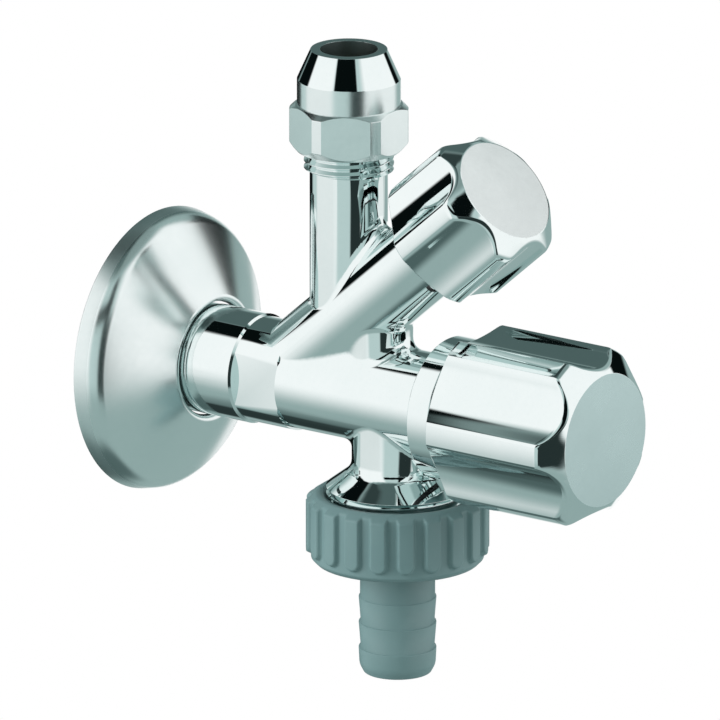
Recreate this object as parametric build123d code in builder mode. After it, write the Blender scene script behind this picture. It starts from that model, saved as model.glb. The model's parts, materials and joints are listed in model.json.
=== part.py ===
# Combination angle valve. A wall inlet feeds two stop valves: the one on the oblique branch opens the
# compression outlet on top, for a basin tap, and the one at the front end opens the hose outlet below,
# for an appliance. The origin lies on the inlet's centre line in the plane of the wall. The valve stands
# out from the wall along -Y, with +Z up.
from build123d import *
from math import cos, radians, sin, tan
from types import SimpleNamespace
import os

# Fits
running_clearance = 0.05
guide_clearance = 0.1
thread_clearance = 0.15
seat_gap = 0.1
handle_gap = 0.25
end_play = 0.6

# Pipe threads, drawn at their major radius
half_inch_radius = 10.48
three_eighths_radius = 8.33
three_quarter_radius = 13.22
thread_chamfer = 1.0

# Main run, with stations measured out from the wall
inlet_thread_length = 12.0
inlet_bore_radius = 5.5
neck_radius = 10.3
neck_length = 23.8
neck_step = 0.4
wrench_flat_length = 9.8
wrench_flats_across = 17.2
barrel_radius = 9.5
barrel_end = 66.4

# Oblique branch, with stations measured from where it leaves the main run
branch_root = 29.0
branch_angle = 41.0
branch_radius = 8.0
branch_end = 44.6

# Crotch column between the barrel and the branch
column_station = 50.7
column_radius = 6.3

# Top outlet, with stations measured up from the main run
top_outlet_station = 43.7
top_tube_radius = 7.25
top_thread_start = 41.9
top_thread_length = 14.1
top_bore_radius = 4.0
pipe_radius = 5.0
pipe_socket_depth = 9.0
socket_cone_length = 2.4
socket_cone_radius = 7.1

# Hose outlet, with stations measured down from the main run
hose_outlet_setback = 11.5
hose_tube_radius = 8.5
hose_flare_start = 13.4
hose_rim_start = 17.0
hose_thread_length = 8.0
hose_bore_radius = 6.0
crotch_fillet = 2.4
outlet_fillet = 2.0
flare_fillet = 3.0

# Rosette
rosette_radius = 26.6
rosette_shoulder_radius = 25.7
rosette_shoulder_depth = 4.4
rosette_depth = 13.4
rosette_crown_drop = 0.9
rosette_wall = 1.1
rosette_gap = 0.55
rosette_lip_width = 1.1
rosette_bend = 1.6

# Appliance valve, on the main run
appliance_seat = 46.5
appliance_seat_radius = 3.5
appliance_chamber_radius = 6.5
appliance_bonnet_radius = 7.4
appliance_bonnet_reach = 8.0
appliance_collar_radius = 13.5
appliance_collar_length = 4.8
appliance_nose_radius = 8.5
appliance_nose_length = 12.3
appliance_guide_across = 10.4
appliance_spindle_radius = 4.0
appliance_spindle_thread_radius = 3.0
appliance_lift = 5.0
appliance_drive_side = 5.6
appliance_drive_length = 10.0
appliance_handle_length = 30.65
appliance_handle_radius = 16.9
appliance_handle_back_radius = 13.6
appliance_handle_back_bevel = 1.9
appliance_face_radius = 12.5
appliance_face_bevel = 3.7
appliance_flute_radius = 11.2
appliance_flute_depth = 3.2
appliance_hub_radius = 6.0
appliance_handle_turn = 0.0

# Basin valve, on the oblique branch
basin_seat = 18.0
basin_seat_radius = 3.0
basin_chamber_radius = 5.4
basin_bonnet_radius = 6.1
basin_bonnet_reach = 12.0
basin_collar_radius = 8.0
basin_collar_length = 1.7
basin_nose_radius = 6.2
basin_nose_length = 9.2
basin_guide_across = 8.4
basin_spindle_radius = 3.2
basin_spindle_thread_radius = 2.4
basin_lift = 4.0
basin_drive_side = 4.4
basin_drive_length = 5.6
basin_handle_length = 19.95
basin_handle_radius = 13.7
basin_handle_back_radius = 11.0
basin_handle_back_bevel = 1.6
basin_face_radius = 10.2
basin_face_bevel = 3.1
basin_flute_radius = 10.4
basin_flute_depth = 2.4
basin_hub_radius = 4.8
basin_handle_turn = -3.5

# Sizes that both valves share
flute_count = 6
hexagon_sides = 6
handle_wall = 2.2
handle_face_wall = 2.6
gasket_thickness = 0.5
gasket_inset = 0.3
seat_lip_height = 0.8
seat_lip_width = 0.7
washer_thickness = 2.5
washer_recess = 1.4
cup_wall = 0.6
plunger_side_gap = 0.6
plunger_head_thickness = 1.5
plunger_floor = 0.8
guide_overlap = 4.0
spindle_flange_thickness = 1.5
spindle_flange_rim = 0.9
seal_section_radius = 0.6
seal_spacing = 3.0
seal_setback = 1.5
clip_thickness = 0.8
clip_depth = 0.6
clip_width = 1.9
clip_opening = 50.0
shaft_overhang = 2.0
screw_radius = 1.3
screw_head_radius = 2.1
screw_head_height = 1.3
screw_slot_width = 0.6
screw_slot_depth = 0.6

# Compression nut and ferrule
nut_start = 45.7
nut_hexagon_length = 8.7
nut_across_flats = 20.0
nut_corner_radius = 11.0
nut_turn = 3.5
nut_lower_bevel = 1.5
nut_lower_radius = 9.7
nut_upper_bevel = 0.9
nut_upper_radius = 9.9
nut_barrel_radius = 9.6
nut_barrel_length = 4.8
nut_cone_length = 5.6
nut_rim_radius = 7.1
nut_hole_clearance = 0.35
ferrule_radius = 6.8
ferrule_taper = 2.4
ferrule_land = 2.4
ferrule_lip = 0.5
ferrule_clearance = 0.1

# Union nut, hose tail and gasket
union_start = 18.3
union_core_radius = 16.0
union_rib_radius = 16.95
union_rib_count = 20
union_rib_width = 3.0
union_rib_turn = 6.0
union_rib_start = 19.6
union_rib_length = 9.8
union_mouth_radius = 14.2
union_mouth_bevel = 0.9
union_top_radius = 15.0
union_top_bevel = 1.3
union_foot_radius = 15.2
union_foot_bevel = 1.8
union_lip = 2.2
hose_gasket_thickness = 2.0
hose_gasket_width = 4.2
tail_flange_radius = 12.6
tail_flange_thickness = 2.0
tail_flange_clearance = 0.2
tail_neck_radius = 6.95
tail_neck_clearance = 0.3
tail_bore_radius = 5.0
tail_barb_start = 38.2
tail_barb_pitch = 4.85
tail_barb_count = 3
tail_barb_radius = 7.2
tail_valley_radius = 6.82
tail_tip_radius = 6.2
tail_tip_shoulder_radius = 7.05
tail_tip_bevel = 1.6

# Backflow cartridge in the hose outlet
cartridge_radius = 9.4
cartridge_length = 8.0
cartridge_groove_floor = 0.9
cartridge_top = 1.5
cartridge_port_radius = 4.6
cartridge_seal_radius = 0.7
spider_thickness = 1.5
spider_arm_width = 1.6
spider_arm_count = 3
spider_hub_radius = 2.6
poppet_radius = 6.2
poppet_thickness = 1.2
poppet_stem_radius = 1.2
poppet_stem_overhang = 1.0
spring_radius = 2.2
spring_wire_radius = 0.25
spring_turns = 3

# Places that follow from the sizes above
flats_end = neck_length + wrench_flat_length
hose_outlet_station = barrel_end - hose_outlet_setback
top_thread_end = top_thread_start + top_thread_length
hose_thread_end = hose_rim_start + hose_thread_length
cartridge_start = hose_thread_end - cartridge_length
lean = radians(branch_angle)


def branch_height(station):
    """Height of the branch's centre line over a station of the main run."""
    return (station - branch_root) * tan(lean)


# Centre lines. Each run is a plane whose x direction follows the line away from the wall or the main run.
main_run = Plane((0, 0, 0), x_dir=(0, -1, 0), z_dir=(-1, 0, 0))
branch_run = Plane((0, -branch_root, 0), x_dir=(0, -cos(lean), sin(lean)), z_dir=(-1, 0, 0))
top_run = Plane((0, -top_outlet_station, 0), x_dir=(0, 0, 1), z_dir=(-1, 0, 0))
hose_run = Plane((0, -hose_outlet_station, 0), x_dir=(0, 0, -1), z_dir=(-1, 0, 0))


def turn(run, profile, mode=Mode.ADD):
    """Turns a closed outline of (station, radius) points about a run's centre line."""
    with BuildSketch(run) as outline:
        with BuildLine():
            Polyline(*profile, close=True)
        make_face()
    revolve(outline.sketch, axis=Axis(run.origin, run.x_dir), mode=mode)


def turn_ring(run, station, radius, section_radius):
    """Turns a round section about a run's centre line, as in an O-ring."""
    with BuildSketch(run) as section:
        with Locations((station, radius)):
            Circle(section_radius)
    revolve(section.sketch, axis=Axis(run.origin, run.x_dir))


def across(run, station):
    """The plane square to a run at a station, with its x direction along X."""
    return Plane(run.origin + run.x_dir * station, x_dir=(1, 0, 0), z_dir=run.x_dir)


def valve_stations(valve):
    """Adds the places along a valve's run that follow from its seat and from the end of its seat bore."""
    valve.bonnet_start = valve.end - valve.bonnet_reach
    valve.collar_start = valve.end + gasket_thickness
    valve.collar_end = valve.collar_start + valve.collar_length
    valve.nose_end = valve.collar_end + valve.nose_length
    valve.washer_start = valve.seat + seat_gap
    valve.washer_end = valve.washer_start + washer_thickness
    valve.head_end = valve.washer_end + plunger_head_thickness
    valve.shank_end = valve.bonnet_start + guide_overlap
    valve.guide_end = valve.shank_end + valve.lift + end_play
    valve.flange_end = valve.guide_end + spindle_flange_thickness
    valve.plunger_bore_start = valve.head_end + plunger_floor
    valve.spindle_start = valve.plunger_bore_start + valve.lift + end_play
    valve.shaft_end = valve.nose_end + shaft_overhang
    valve.drive_end = valve.shaft_end + valve.drive_length
    valve.handle_start = valve.collar_end + handle_gap
    valve.handle_end = valve.handle_start + valve.handle_length
    valve.plunger_radius = valve.chamber_radius - plunger_side_gap
    valve.flange_radius = valve.spindle_radius + spindle_flange_rim
    return valve


appliance = valve_stations(SimpleNamespace(
    name="appliance",
    run=main_run,
    end=barrel_end,
    body_radius=barrel_radius,
    seat=appliance_seat,
    seat_radius=appliance_seat_radius,
    chamber_radius=appliance_chamber_radius,
    bonnet_radius=appliance_bonnet_radius,
    bonnet_reach=appliance_bonnet_reach,
    collar_radius=appliance_collar_radius,
    collar_length=appliance_collar_length,
    nose_radius=appliance_nose_radius,
    nose_length=appliance_nose_length,
    guide_across=appliance_guide_across,
    spindle_radius=appliance_spindle_radius,
    spindle_thread_radius=appliance_spindle_thread_radius,
    lift=appliance_lift,
    drive_side=appliance_drive_side,
    drive_length=appliance_drive_length,
    handle_length=appliance_handle_length,
    handle_radius=appliance_handle_radius,
    handle_back_radius=appliance_handle_back_radius,
    handle_back_bevel=appliance_handle_back_bevel,
    face_radius=appliance_face_radius,
    face_bevel=appliance_face_bevel,
    flute_radius=appliance_flute_radius,
    flute_depth=appliance_flute_depth,
    hub_radius=appliance_hub_radius,
    handle_turn=appliance_handle_turn,
))

basin = valve_stations(SimpleNamespace(
    name="basin",
    run=branch_run,
    end=branch_end,
    body_radius=branch_radius,
    seat=basin_seat,
    seat_radius=basin_seat_radius,
    chamber_radius=basin_chamber_radius,
    bonnet_radius=basin_bonnet_radius,
    bonnet_reach=basin_bonnet_reach,
    collar_radius=basin_collar_radius,
    collar_length=basin_collar_length,
    nose_radius=basin_nose_radius,
    nose_length=basin_nose_length,
    guide_across=basin_guide_across,
    spindle_radius=basin_spindle_radius,
    spindle_thread_radius=basin_spindle_thread_radius,
    lift=basin_lift,
    drive_side=basin_drive_side,
    drive_length=basin_drive_length,
    handle_length=basin_handle_length,
    handle_radius=basin_handle_radius,
    handle_back_radius=basin_handle_back_radius,
    handle_back_bevel=basin_handle_back_bevel,
    face_radius=basin_face_radius,
    face_bevel=basin_face_bevel,
    flute_radius=basin_flute_radius,
    flute_depth=basin_flute_depth,
    hub_radius=basin_hub_radius,
    handle_turn=basin_handle_turn,
))


def bore_valve(valve):
    """Cuts a valve's feed hole, seat with its raised lip, chamber and bonnet bore into the body."""
    bonnet_bore = valve.bonnet_radius + running_clearance
    lip_radius = valve.seat_radius + seat_lip_width
    turn(valve.run, [
        (0, 0),
        (0, valve.seat_radius),
        (valve.seat, valve.seat_radius),
        (valve.seat, lip_radius),
        (valve.seat - seat_lip_height, lip_radius),
        (valve.seat - seat_lip_height, valve.chamber_radius),
        (valve.bonnet_start, valve.chamber_radius),
        (valve.bonnet_start, bonnet_bore),
        (valve.end, bonnet_bore),
        (valve.end, 0),
    ], Mode.SUBTRACT)


# Places of the bores inside the body
inlet_bore_end = appliance.seat - seat_lip_height - inlet_bore_radius
top_bore_reach = top_outlet_station - top_bore_radius - branch_root
top_bore_start = (basin.seat - top_bore_reach * cos(lean)) / sin(lean)
socket_start = top_thread_end - pipe_socket_depth

os.makedirs("parts", exist_ok=True)

# Body: barrel, branch and column are rounded into each other before the outlets and the neck join them
with BuildPart() as valve_body:
    turn(main_run, [
        (0, 0),
        (0, barrel_radius),
        (barrel_end, barrel_radius),
        (barrel_end, 0),
    ])
    turn(branch_run, [
        (0, 0),
        (0, branch_radius),
        (branch_end, branch_radius),
        (branch_end, 0),
    ])
    with BuildSketch(Plane((0, -column_station, 0))):
        Circle(column_radius)
    extrude(amount=branch_height(column_station))
    fillet(valve_body.edges().filter_by(GeomType.BSPLINE), radius=crotch_fillet)
    turn(top_run, [
        (branch_height(top_outlet_station), 0),
        (branch_height(top_outlet_station), top_tube_radius),
        (top_thread_start, top_tube_radius),
        (top_thread_start, 0),
    ])
    fillet(valve_body.edges(Select.NEW), radius=outlet_fillet)
    turn(hose_run, [
        (0, 0),
        (0, hose_tube_radius),
        (hose_flare_start, hose_tube_radius),
        (hose_rim_start, three_quarter_radius),
        (hose_thread_end - thread_chamfer, three_quarter_radius),
        (hose_thread_end, three_quarter_radius - thread_chamfer),
        (hose_thread_end, 0),
    ])
    fillet(valve_body.edges(Select.NEW), radius=outlet_fillet)
    flare = valve_body.edges().filter_by(GeomType.CIRCLE).filter_by_position(
        Axis.Z, -hose_flare_start - running_clearance, -hose_flare_start + running_clearance
    )
    fillet(flare, radius=flare_fillet)
    turn(top_run, [
        (top_thread_start, 0),
        (top_thread_start, three_eighths_radius),
        (top_thread_end - thread_chamfer, three_eighths_radius),
        (top_thread_end, three_eighths_radius - thread_chamfer),
        (top_thread_end, 0),
    ])
    turn(main_run, [
        (-inlet_thread_length, 0),
        (-inlet_thread_length, half_inch_radius - thread_chamfer),
        (-inlet_thread_length + thread_chamfer, half_inch_radius),
        (0, half_inch_radius),
        (0, neck_radius),
        (neck_length - neck_step, neck_radius),
        (neck_length, neck_radius - neck_step),
        (flats_end, neck_radius - neck_step),
        (flats_end, 0),
    ])
    with BuildSketch(across(main_run, neck_length)):
        Circle(neck_radius)
        Rectangle(wrench_flats_across, 2 * neck_radius, mode=Mode.SUBTRACT)
    extrude(amount=wrench_flat_length, mode=Mode.SUBTRACT)
    turn(main_run, [
        (-inlet_thread_length, 0),
        (-inlet_thread_length, inlet_bore_radius),
        (inlet_bore_end, inlet_bore_radius),
        (inlet_bore_end + inlet_bore_radius - appliance.seat_radius, appliance.seat_radius),
        (inlet_bore_end + inlet_bore_radius - appliance.seat_radius, 0),
    ], Mode.SUBTRACT)
    bore_valve(appliance)
    bore_valve(basin)
    turn(top_run, [
        (top_bore_start, 0),
        (top_bore_start, top_bore_radius),
        (socket_start, top_bore_radius),
        (socket_start, pipe_radius + ferrule_clearance),
        (top_thread_end - socket_cone_length, pipe_radius + ferrule_clearance),
        (top_thread_end, socket_cone_radius),
        (top_thread_end, 0),
    ], Mode.SUBTRACT)
    turn(hose_run, [
        (0, 0),
        (0, hose_bore_radius),
        (cartridge_start, hose_bore_radius),
        (cartridge_start, cartridge_radius + running_clearance),
        (hose_thread_end, cartridge_radius + running_clearance),
        (hose_thread_end, 0),
    ], Mode.SUBTRACT)
valve_body.part.label = "valve_body"
export_step(valve_body.part, "parts/valve_body.step")

# Rosette, a thin dish with a rolled lip round the neck
lip_radius = neck_radius + rosette_gap
with BuildPart() as rosette:
    with BuildSketch(main_run) as section:
        with BuildLine():
            FilletPolyline(
                (0, rosette_radius),
                (rosette_shoulder_depth, rosette_shoulder_radius),
                (rosette_depth - rosette_crown_drop, lip_radius + rosette_lip_width),
                (rosette_depth, lip_radius),
                radius=rosette_bend,
            )
            offset(amount=rosette_wall, side=Side.RIGHT)
        make_face()
    revolve(axis=Axis(main_run.origin, main_run.x_dir))
    split(bisect_by=across(main_run, 0), keep=Keep.TOP)
    turn(main_run, [
        (0, 0),
        (0, lip_radius),
        (rosette_depth, lip_radius),
        (rosette_depth, 0),
    ], Mode.SUBTRACT)
rosette.part.label = "rosette"
export_step(rosette.part, "parts/rosette.step")

for valve in (appliance, basin):
    # Bonnet with a hexagonal guide for the plunger and a bearing bore for the spindle
    with BuildPart() as bonnet:
        turn(valve.run, [
            (valve.bonnet_start, 0),
            (valve.bonnet_start, valve.bonnet_radius),
            (valve.collar_start, valve.bonnet_radius),
            (valve.collar_start, valve.collar_radius),
            (valve.collar_end, valve.collar_radius),
            (valve.collar_end, valve.nose_radius),
            (valve.nose_end, valve.nose_radius),
            (valve.nose_end, 0),
        ])
        with BuildSketch(across(valve.run, valve.bonnet_start)):
            RegularPolygon(valve.guide_across / 2, hexagon_sides, major_radius=False)
        extrude(amount=valve.guide_end - valve.bonnet_start, mode=Mode.SUBTRACT)
        turn(valve.run, [
            (valve.guide_end, 0),
            (valve.guide_end, valve.flange_radius + guide_clearance),
            (valve.flange_end + running_clearance, valve.flange_radius + guide_clearance),
            (valve.flange_end + running_clearance, valve.spindle_radius + running_clearance),
            (valve.nose_end, valve.spindle_radius + running_clearance),
            (valve.nose_end, 0),
        ], Mode.SUBTRACT)
    bonnet.part.label = f"{valve.name}_bonnet"
    export_step(bonnet.part, f"parts/{valve.name}_bonnet.step")

    # Flat gasket between the body and the bonnet's collar
    gasket_radius = min(valve.body_radius, valve.collar_radius) - gasket_inset
    with BuildPart() as gasket:
        turn(valve.run, [
            (valve.end, valve.bonnet_radius + running_clearance),
            (valve.end, gasket_radius),
            (valve.collar_start, gasket_radius),
            (valve.collar_start, valve.bonnet_radius + running_clearance),
        ])
    gasket.part.label = f"{valve.name}_bonnet_gasket"
    export_step(gasket.part, f"parts/{valve.name}_bonnet_gasket.step")

    # Non-rising spindle: plunger thread, thrust flange, sealed shaft, clip groove and square drive
    groove_radius = valve.spindle_radius - 2 * seal_section_radius
    groove_half = seal_section_radius + running_clearance
    first_seal = valve.flange_end + seal_setback
    seals = (first_seal, first_seal + seal_spacing)
    clip_start = valve.nose_end + running_clearance
    clip_end = clip_start + clip_thickness
    clip_radius = valve.spindle_radius - clip_depth
    with BuildPart() as spindle:
        turn(valve.run, [
            (valve.spindle_start, 0),
            (valve.spindle_start, valve.spindle_thread_radius),
            (valve.guide_end, valve.spindle_thread_radius),
            (valve.guide_end, valve.flange_radius),
            (valve.flange_end, valve.flange_radius),
            (valve.flange_end, valve.spindle_radius),
            (valve.shaft_end, valve.spindle_radius),
            (valve.shaft_end, 0),
        ])
        for seal in seals:
            turn(valve.run, [
                (seal - groove_half, groove_radius),
                (seal - groove_half, valve.flange_radius),
                (seal + groove_half, valve.flange_radius),
                (seal + groove_half, groove_radius),
            ], Mode.SUBTRACT)
        turn(valve.run, [
            (clip_start, clip_radius),
            (clip_start, valve.flange_radius),
            (clip_end + running_clearance, valve.flange_radius),
            (clip_end + running_clearance, clip_radius),
        ], Mode.SUBTRACT)
        with BuildSketch(across(valve.run, valve.shaft_end)):
            Rectangle(valve.drive_side, valve.drive_side, rotation=valve.handle_turn)
        extrude(amount=valve.drive_length)
    spindle.part.label = f"{valve.name}_spindle"
    export_step(spindle.part, f"parts/{valve.name}_spindle.step")

    # Pair of O-rings in the spindle's grooves
    with BuildPart() as spindle_seals:
        for seal in seals:
            turn_ring(valve.run, seal, groove_radius + seal_section_radius, seal_section_radius)
    spindle_seals.part.label = f"{valve.name}_spindle_seals"
    export_step(spindle_seals.part, f"parts/{valve.name}_spindle_seals.step")

    # Open retaining ring that keeps the spindle in the bonnet
    with BuildPart() as clip:
        turn(valve.run, [
            (clip_start, clip_radius + running_clearance),
            (clip_start, clip_radius + clip_width),
            (clip_end, clip_radius + clip_width),
            (clip_end, clip_radius + running_clearance),
        ])
        with BuildSketch(across(valve.run, clip_start)):
            with BuildLine():
                mouth = PolarLine((0, 0), 2 * (clip_radius + clip_width), 90 - clip_opening / 2)
                PolarLine((0, 0), 2 * (clip_radius + clip_width), 90 + clip_opening / 2)
                Line(mouth @ 1, (-(mouth @ 1).X, (mouth @ 1).Y))
            make_face()
        extrude(amount=clip_thickness, mode=Mode.SUBTRACT)
    clip.part.label = f"{valve.name}_clip"
    export_step(clip.part, f"parts/{valve.name}_clip.step")

    # Hexagonal plunger with a cup for the washer and a threaded bore for the spindle
    washer_radius = valve.plunger_radius - cup_wall
    with BuildPart() as plunger:
        turn(valve.run, [
            (valve.washer_end - washer_recess, 0),
            (valve.washer_end - washer_recess, valve.plunger_radius),
            (valve.head_end, valve.plunger_radius),
            (valve.head_end, 0),
        ])
        with BuildSketch(across(valve.run, valve.head_end)):
            RegularPolygon(valve.guide_across / 2 - guide_clearance, hexagon_sides, major_radius=False)
        extrude(amount=valve.shank_end - valve.head_end)
        turn(valve.run, [
            (valve.washer_end - washer_recess, 0),
            (valve.washer_end - washer_recess, washer_radius),
            (valve.washer_end, washer_radius),
            (valve.washer_end, screw_radius),
            (valve.plunger_bore_start, screw_radius),
            (valve.plunger_bore_start, valve.spindle_thread_radius + thread_clearance),
            (valve.shank_end, valve.spindle_thread_radius + thread_clearance),
            (valve.shank_end, 0),
        ], Mode.SUBTRACT)
    plunger.part.label = f"{valve.name}_plunger"
    export_step(plunger.part, f"parts/{valve.name}_plunger.step")

    # Rubber washer in the plunger's cup
    with BuildPart() as washer:
        turn(valve.run, [
            (valve.washer_start, screw_radius),
            (valve.washer_start, washer_radius),
            (valve.washer_end, washer_radius),
            (valve.washer_end, screw_radius),
        ])
    washer.part.label = f"{valve.name}_washer"
    export_step(washer.part, f"parts/{valve.name}_washer.step")

    # Slotted screw that holds the washer
    screw_head_start = valve.washer_start - screw_head_height
    with BuildPart() as washer_screw:
        turn(valve.run, [
            (screw_head_start, 0),
            (screw_head_start, screw_head_radius),
            (valve.washer_start, screw_head_radius),
            (valve.washer_start, screw_radius),
            (valve.plunger_bore_start, screw_radius),
            (valve.plunger_bore_start, 0),
        ])
        with BuildSketch(across(valve.run, screw_head_start)):
            Rectangle(2 * screw_head_radius, screw_slot_width)
        extrude(amount=screw_slot_depth, mode=Mode.SUBTRACT)
    washer_screw.part.label = f"{valve.name}_washer_screw"
    export_step(washer_screw.part, f"parts/{valve.name}_washer_screw.step")

    # Fluted handle: turned outside, hollow, with a hub for the square drive
    flute_line = valve.handle_radius - valve.flute_depth + valve.flute_radius
    hollow_radius = valve.handle_radius - valve.flute_depth - handle_wall
    hollow_end = valve.handle_end - handle_face_wall
    hub_start = valve.shaft_end + running_clearance
    with BuildPart() as handle:
        turn(valve.run, [
            (valve.handle_start, 0),
            (valve.handle_start, valve.handle_back_radius),
            (valve.handle_start + valve.handle_back_bevel, valve.handle_radius),
            (valve.handle_end - valve.face_bevel, valve.handle_radius),
            (valve.handle_end, valve.face_radius),
            (valve.handle_end, 0),
        ])
        with BuildSketch(across(valve.run, valve.handle_start)):
            with PolarLocations(flute_line, flute_count, 180 / flute_count + valve.handle_turn):
                Circle(valve.flute_radius)
        extrude(amount=valve.handle_length, mode=Mode.SUBTRACT)
        turn(valve.run, [
            (valve.handle_start, 0),
            (valve.handle_start, hollow_radius),
            (hollow_end, hollow_radius),
            (hollow_end, valve.hub_radius),
            (hub_start, valve.hub_radius),
            (hub_start, 0),
        ], Mode.SUBTRACT)
        with BuildSketch(across(valve.run, hub_start)):
            socket_side = valve.drive_side + 2 * running_clearance
            Rectangle(socket_side, socket_side, rotation=valve.handle_turn)
        extrude(amount=valve.drive_length, mode=Mode.SUBTRACT)
    handle.part.label = f"{valve.name}_handle"
    export_step(handle.part, f"parts/{valve.name}_handle.step")

# Compression nut: a hexagon with turned corners under a round barrel and a cone
hexagon_end = nut_start + nut_hexagon_length
barrel_top = hexagon_end + nut_barrel_length
nut_end = barrel_top + nut_cone_length
nut_hole_radius = pipe_radius + nut_hole_clearance
ferrule_bore = pipe_radius + ferrule_clearance
ferrule_lip_radius = ferrule_bore + ferrule_lip
socket_slope = (socket_cone_radius - ferrule_bore) / socket_cone_length
ferrule_start = top_thread_end - socket_cone_length + (ferrule_lip + ferrule_clearance) / socket_slope
ferrule_end = ferrule_start + 2 * ferrule_taper + ferrule_land
ferrule_land_end = ferrule_end - ferrule_taper
ferrule_room = ferrule_radius + thread_clearance
with BuildPart() as compression_nut:
    with BuildSketch(across(top_run, nut_start)):
        RegularPolygon(nut_across_flats / 2, hexagon_sides, major_radius=False, rotation=nut_turn)
    extrude(amount=nut_hexagon_length)
    turn(top_run, [
        (nut_start, 0),
        (nut_start, nut_lower_radius),
        (nut_start + nut_lower_bevel, nut_corner_radius),
        (hexagon_end - nut_upper_bevel, nut_corner_radius),
        (hexagon_end, nut_upper_radius),
        (hexagon_end, 0),
    ], Mode.INTERSECT)
    turn(top_run, [
        (hexagon_end, 0),
        (hexagon_end, nut_barrel_radius),
        (barrel_top, nut_barrel_radius),
        (nut_end, nut_rim_radius),
        (nut_end, 0),
    ])
    turn(top_run, [
        (nut_start, 0),
        (nut_start, three_eighths_radius + thread_clearance),
        (top_thread_end + end_play, three_eighths_radius + thread_clearance),
        (top_thread_end + end_play, ferrule_room),
        (ferrule_land_end, ferrule_room),
        (ferrule_end + ferrule_clearance, ferrule_lip_radius + thread_clearance),
        (ferrule_end + ferrule_clearance, nut_hole_radius),
        (nut_end, nut_hole_radius),
        (nut_end, 0),
    ], Mode.SUBTRACT)
compression_nut.part.label = "compression_nut"
export_step(compression_nut.part, "parts/compression_nut.step")

# Compression ferrule, tapered both ways
with BuildPart() as compression_ferrule:
    turn(top_run, [
        (ferrule_start, ferrule_bore),
        (ferrule_start, ferrule_lip_radius),
        (ferrule_start + ferrule_taper, ferrule_radius),
        (ferrule_land_end, ferrule_radius),
        (ferrule_end, ferrule_lip_radius),
        (ferrule_end, ferrule_bore),
    ])
compression_ferrule.part.label = "compression_ferrule"
export_step(compression_ferrule.part, "parts/compression_ferrule.step")

# Hose gasket under the threaded spigot
hose_gasket_end = hose_thread_end + hose_gasket_thickness
with BuildPart() as hose_gasket:
    turn(hose_run, [
        (hose_thread_end, tail_flange_radius - hose_gasket_width),
        (hose_thread_end, tail_flange_radius),
        (hose_gasket_end, tail_flange_radius),
        (hose_gasket_end, tail_flange_radius - hose_gasket_width),
    ])
hose_gasket.part.label = "hose_gasket"
export_step(hose_gasket.part, "parts/hose_gasket.step")

# Hose tail: flange, neck and saw-tooth barbs round one bore
tail_flange_end = hose_gasket_end + tail_flange_thickness
tail_outline = [
    (hose_gasket_end, tail_bore_radius),
    (hose_gasket_end, tail_flange_radius),
    (tail_flange_end, tail_flange_radius),
    (tail_flange_end, tail_neck_radius),
]
for barb in range(tail_barb_count):
    barb_start = tail_barb_start + barb * tail_barb_pitch
    tail_outline.append((barb_start, tail_neck_radius if barb == 0 else tail_valley_radius))
    tail_outline.append((barb_start, tail_barb_radius))
tail_tip = tail_barb_start + tail_barb_count * tail_barb_pitch
tail_outline += [
    (tail_tip - tail_tip_bevel, tail_tip_shoulder_radius),
    (tail_tip, tail_tip_radius),
    (tail_tip, tail_bore_radius),
]
with BuildPart() as hose_tail:
    turn(hose_run, tail_outline)
hose_tail.part.label = "hose_tail"
export_step(hose_tail.part, "parts/hose_tail.step")

# Union nut with gripping ribs, rounded at their lower ends, and an inner lip under the tail's flange
lip_start = tail_flange_end + running_clearance
union_end = lip_start + union_lip
union_bore_radius = three_quarter_radius + thread_clearance
tail_hole_radius = tail_neck_radius + tail_neck_clearance
flange_room = tail_flange_radius + tail_flange_clearance
flange_room_start = hose_thread_end + seat_gap
rib_round = union_rib_start + union_rib_length - union_rib_width / 2
with BuildPart() as union_nut:
    turn(hose_run, [
        (union_start, 0),
        (union_start, union_core_radius),
        (union_end, union_core_radius),
        (union_end, 0),
    ])
    for rib in range(union_rib_count):
        bearing = radians(360 / union_rib_count * rib + union_rib_turn)
        outwards = Plane(hose_run.origin, x_dir=hose_run.x_dir, z_dir=(cos(bearing), sin(bearing), 0))
        with BuildSketch(outwards):
            with Locations((union_rib_start, 0)):
                Rectangle(rib_round - union_rib_start, union_rib_width, align=(Align.MIN, Align.CENTER))
            with Locations((rib_round, 0)):
                Circle(union_rib_width / 2)
        extrude(amount=union_rib_radius)
    turn(hose_run, [
        (union_start, 0),
        (union_start, union_top_radius),
        (union_start + union_top_bevel, union_rib_radius),
        (union_end - union_foot_bevel, union_rib_radius),
        (union_end, union_foot_radius),
        (union_end, 0),
    ], Mode.INTERSECT)
    turn(hose_run, [
        (union_start, 0),
        (union_start, union_mouth_radius),
        (union_start + union_mouth_bevel, union_bore_radius),
        (flange_room_start, union_bore_radius),
        (flange_room_start, flange_room),
        (lip_start, flange_room),
        (lip_start, tail_hole_radius),
        (union_end, tail_hole_radius),
        (union_end, 0),
    ], Mode.SUBTRACT)
union_nut.part.label = "union_nut"
export_step(union_nut.part, "parts/union_nut.step")

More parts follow.
